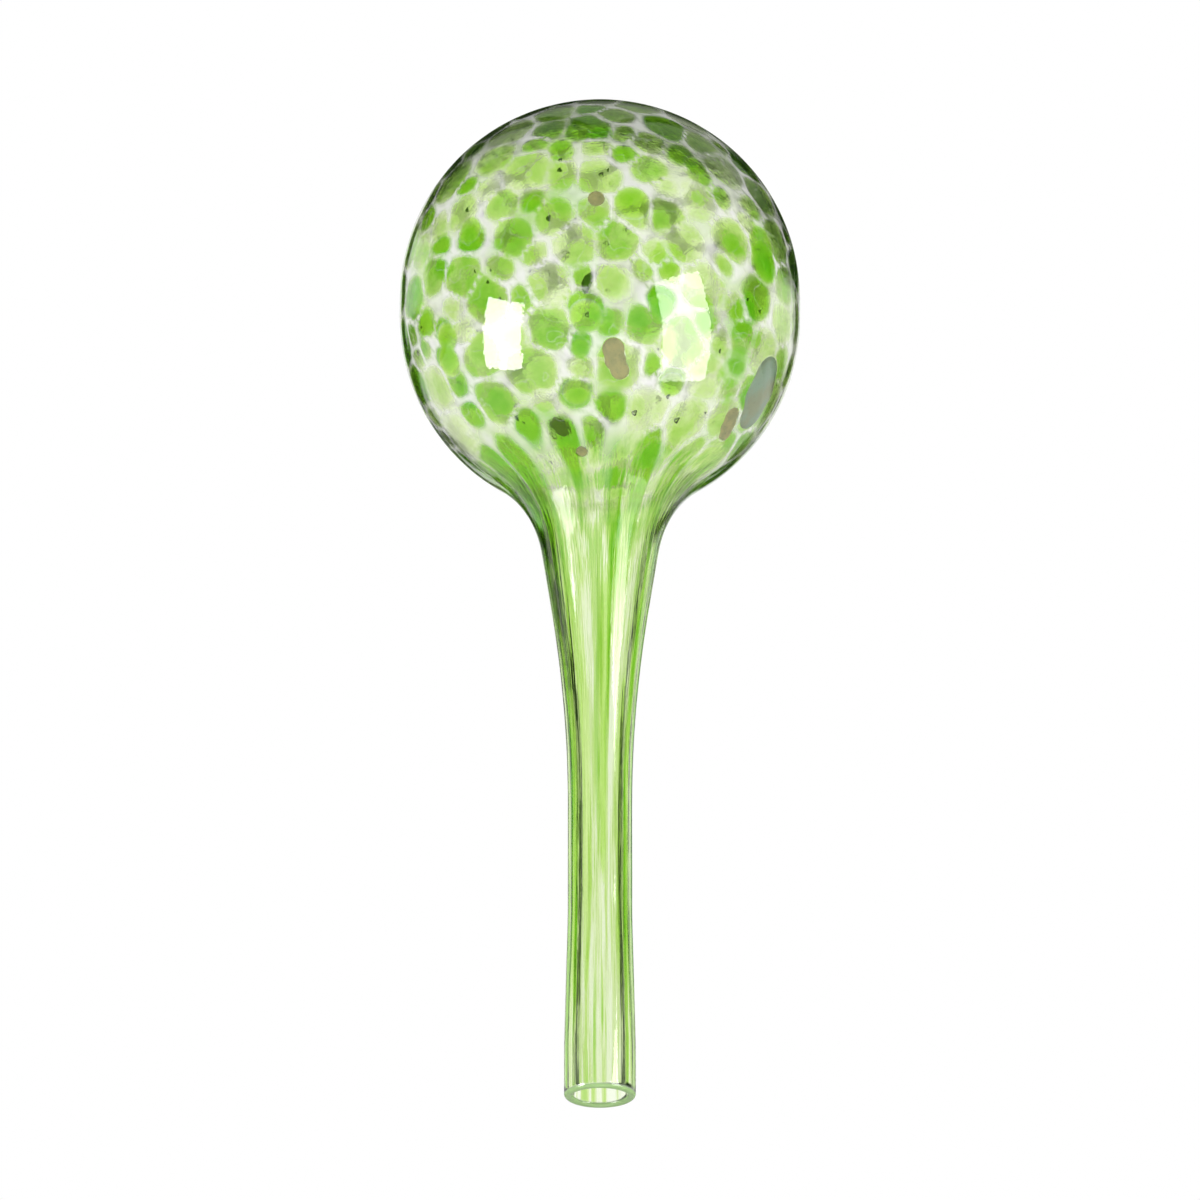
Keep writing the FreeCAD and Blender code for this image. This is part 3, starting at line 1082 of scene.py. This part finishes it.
def make_seeds(sizes, chance):
    """Burnt specks: those that the photograph shows, and others by chance."""
    places = list(FRONT_SEED_SHARES)
    for _ in range(CHANCE_SEEDS):
        places.append((chance.random(), chance.uniform(*SEED_RISE_SHARES),
                       chance.uniform(*SEED_LENGTH_SHARES),
                       chance.uniform(*SEED_WIDTH_SHARES)))
    seeds = []
    for turn_share, rise_share, length, width in places:
        place, outward, level = inside_wall(sizes, turn_share, rise_share, SEED_DEPTH_SHARE)
        lean = chance.uniform(-SEED_LEAN, SEED_LEAN)
        along = outward.cross(level) * math.cos(lean) + level * math.sin(lean)
        seeds.append(make_pip(place, outward, along.normalized(), sizes.bulb_diameter * length,
                              sizes.bulb_diameter * width,
                              sizes.bulb_wall * SEED_THICKNESS_SHARE))
    return join(seeds)


def make_bubbles(sizes, chance):
    """Air bubbles, a little longer up the skin than across."""
    bubbles = []
    for _ in range(CHANCE_BUBBLES):
        place, outward, level = inside_wall(
            sizes, chance.random(), chance.uniform(*BUBBLE_RISE_SHARES), BUBBLE_DEPTH_SHARE)
        width = sizes.bulb_diameter * chance.uniform(*BUBBLE_WIDTH_SHARES)
        bubbles.append(make_pip(place, outward, outward.cross(level), width * BUBBLE_STRETCH,
                                width, min(width, sizes.bulb_wall * BUBBLE_THICKNESS_SHARE)))
    return join(bubbles)


class GLOBE_OT_seeds(bpy.types.Operator):
    """Scatters burnt specks and small bubbles in the wall"""
    bl_idname = "globe.seeds"
    bl_label = "Seeds And Bubbles"

    def execute(self, context):
        sizes = context.scene.globe_sizes
        chance = random.Random(SEED_CHANCE)
        seeds = make_seeds(sizes, chance)
        bubbles = make_bubbles(sizes, chance)
        seeds.data.materials.append(dark_glass(context.scene.globe_colours))
        finish_piece(seeds, "dark_seeds")
        bubbles.data.materials.append(air_bubble())
        finish_piece(bubbles, "air_bubbles")
        return {"FINISHED"}


def add_lamp(name, place, way, upward, width, height, brightness, tint):
    """A soft lamp that faces the bulb and shows only as light and as a reflection."""
    light = bpy.data.lights.new(name, "AREA")
    light.shape = "RECTANGLE"
    light.size = width
    light.size_y = height
    light.energy = brightness * width * height * math.pi
    light.color = tint
    lamp = bpy.data.objects.new(name, light)
    bpy.context.scene.collection.objects.link(lamp)
    lamp.location = place
    back = way.normalized()
    side = upward.cross(back).normalized()
    lamp.rotation_euler = Matrix((side, back.cross(side), back)).transposed().to_euler()
    lamp.visible_camera = False
    lamp.visible_transmission = False


def add_lamps(sizes, studio, towards, upward):
    """Soft lamps whose reflections lie on the bulb where the photograph shows them."""
    right = Vector((1, 0, 0))
    bulb = Vector((0, 0, sizes.globe_height - sizes.bulb_diameter / 2))
    for name, (across, above, near), wide, tall, share, light in LAMPS:
        way = right * across + upward * above + towards * near
        add_lamp(name, bulb + way * studio.lamp_distance, way, upward + towards * LAMP_LEAN,
                 2 * studio.lamp_distance * math.tan(math.radians(wide / 2)),
                 2 * studio.lamp_distance * math.tan(math.radians(tall / 2)),
                 studio.lamp_brightness * share, light)


def lay_floor(depth):
    """A plain pale floor, very faintly clouded."""
    deselect()
    bpy.ops.mesh.primitive_circle_add(vertices=64, radius=FLOOR_RADIUS, fill_type="NGON",
                                      location=(0.0, 0.0, -depth))
    floor = bpy.context.object
    floor.name = "floor"
    made, nodes = material("pale_floor")
    place = nodes.add("TexCoord").outputs["Object"]
    cloud = nodes.noise(place, scale=3.0, detail=3.0)
    shade = nodes.mix(cloud, (0.88, 0.88, 0.87, 1.0), (0.92, 0.92, 0.91, 1.0))
    paint = nodes.add("BsdfPrincipled", {"Base Color": shade, "Roughness": 0.7})
    nodes.add("OutputMaterial", {"Surface": paint.outputs[0]})
    floor.data.materials.append(made)


def dark_flags(nodes, way):
    """How dark the surround is each way: upright bars, a cap overhead and a low skirt."""
    parts = nodes.add("SeparateXYZ", {0: way})
    around = nodes.math("ARCTAN2", parts.outputs[1], parts.outputs[0])
    bar = math.pi / BAR_COUNT
    turned = nodes.math("PINGPONG", nodes.math("ADD", around, 4 * math.pi), bar)
    bars = nodes.ramp(turned, bar - BAR_EDGES[0], bar - BAR_EDGES[1])
    lean = nodes.add("Clamp", {0: parts.outputs[0], 1: -LEAN_LIMIT, 2: LEAN_LIMIT}).outputs[0]
    height = nodes.math("MULTIPLY_ADD", lean, SURROUND_LEAN, parts.outputs[2])
    cap = nodes.math("MULTIPLY", nodes.ramp(height, *CAP_FOOT),
                     nodes.ramp(height, *CAP_TOP, 1.0, CAP_REST))
    skirt = nodes.math("MULTIPLY", nodes.ramp(height, *SKIRT_TOP, 1.0, 0.0),
                       nodes.ramp(height, *SKIRT_FOOT))
    return nodes.math("MAXIMUM", nodes.math("MAXIMUM", bars, skirt), cap)


def paint_surround(scene, studio, towards):
    """Makes the surround white, with dark flags that show only through the glass.

    Light mirrored off the glass from the room before it is dim, and light on its way to the
    floor, the veins and the opaque chips is plain white.
    """
    world = bpy.data.worlds.new("studio")
    scene.world = world
    world.use_nodes = True
    nodes = Nodes(world.node_tree)
    way = nodes.add("TexCoord").outputs["Generated"]
    path = nodes.add("LightPath")
    seen = path.outputs["Is Camera Ray"]
    unscattered = nodes.ramp(path.outputs["Diffuse Depth"], 0.4, 0.6, 1.0, 0.0)
    dark = nodes.math("MULTIPLY", dark_flags(nodes, way), unscattered)
    shade = nodes.mix(dark, WHITE, DARK_FLAG)
    ahead = nodes.add("VectorMath", {0: way, 1: tuple(-towards)}, operation="DOT_PRODUCT")
    before = nodes.ramp(ahead.outputs["Value"], *AHEAD_EDGES, 1.0, 0.0)
    mirrored = nodes.ramp(path.outputs["Glossy Depth"], 0.4, 0.6)
    mirrored = nodes.math("MULTIPLY", nodes.math("MULTIPLY", mirrored, before), unscattered)
    shade = nodes.mix(mirrored, shade, DIM_ROOM)
    shade = nodes.mix(seen, shade, WHITE)
    strength = nodes.ramp(seen, 0.0, 1.0, studio.surround_brightness)
    surround = nodes.add("Background", {"Color": shade, "Strength": strength})
    nodes.add("OutputWorld", {"Surface": surround.outputs[0]})


def add_camera(scene, studio, towards):
    """A far camera with a long lens, at the photograph's angle."""
    camera = bpy.data.objects.new("camera", bpy.data.cameras.new("camera"))
    scene.collection.objects.link(camera)
    camera.data.lens = studio.camera_lens
    camera.location = Vector((0, 0, studio.look_height)) + towards * studio.camera_distance
    camera.rotation_euler = (-towards).to_track_quat("-Z", "Y").to_euler()
    scene.camera = camera
    scene.view_settings.view_transform = "Standard"


class GLOBE_OT_studio(bpy.types.Operator):
    """Sets up the floor, the white surround with its dark flags, two soft lamps and the camera"""
    bl_idname = "globe.studio"
    bl_label = "Studio"

    def execute(self, context):
        scene = context.scene
        studio = scene.globe_studio
        tilt = studio.camera_elevation
        towards = Vector((0, -math.cos(tilt), math.sin(tilt)))
        upward = Vector((0, math.sin(tilt), math.cos(tilt)))
        lay_floor(studio.floor_depth)
        paint_surround(scene, studio, towards)
        add_lamps(scene.globe_sizes, studio, towards, upward)
        add_camera(scene, studio, towards)
        return {"FINISHED"}


OPERATORS = (
    GLOBE_OT_blown_wall,
    GLOBE_OT_green_chips,
    GLOBE_OT_opaque_chips,
    GLOBE_OT_seeds,
    GLOBE_OT_studio,
)


class GLOBE_PT_panel(bpy.types.Panel):
    """Lists the globe's pieces, sizes and colours"""
    bl_idname = "GLOBE_PT_panel"
    bl_label = "Watering Globe"
    bl_space_type = "VIEW_3D"
    bl_region_type = "UI"
    bl_category = "Watering Globe"

    def draw(self, context):
        scene = context.scene
        column = self.layout.column()
        for operator in OPERATORS:
            column.operator(operator.bl_idname)
        for group in (scene.globe_sizes, scene.globe_colours, scene.globe_studio):
            box = self.layout.box()
            for name in group.bl_rna.properties.keys():
                if name not in ("rna_type", "name"):
                    box.prop(group, name)


CLASSES = (GlobeSizes, GlassColours, StudioSettings, *OPERATORS, GLOBE_PT_panel)


def register():
    """Adds the classes and the scene's settings."""
    for kind in CLASSES:
        bpy.utils.register_class(kind)
    bpy.types.Scene.globe_sizes = bpy.props.PointerProperty(type=GlobeSizes)
    bpy.types.Scene.globe_colours = bpy.props.PointerProperty(type=GlassColours)
    bpy.types.Scene.globe_studio = bpy.props.PointerProperty(type=StudioSettings)


def unregister():
    """Takes them away again."""
    del bpy.types.Scene.globe_studio
    del bpy.types.Scene.globe_colours
    del bpy.types.Scene.globe_sizes
    for kind in reversed(CLASSES):
        bpy.utils.unregister_class(kind)


def main():
    """Makes every piece and the studio."""
    register()
    bpy.ops.globe.blown_wall()
    bpy.ops.globe.green_chips()
    bpy.ops.globe.opaque_chips()
    bpy.ops.globe.seeds()
    bpy.ops.globe.studio()


if __name__ == "__main__":
    main()
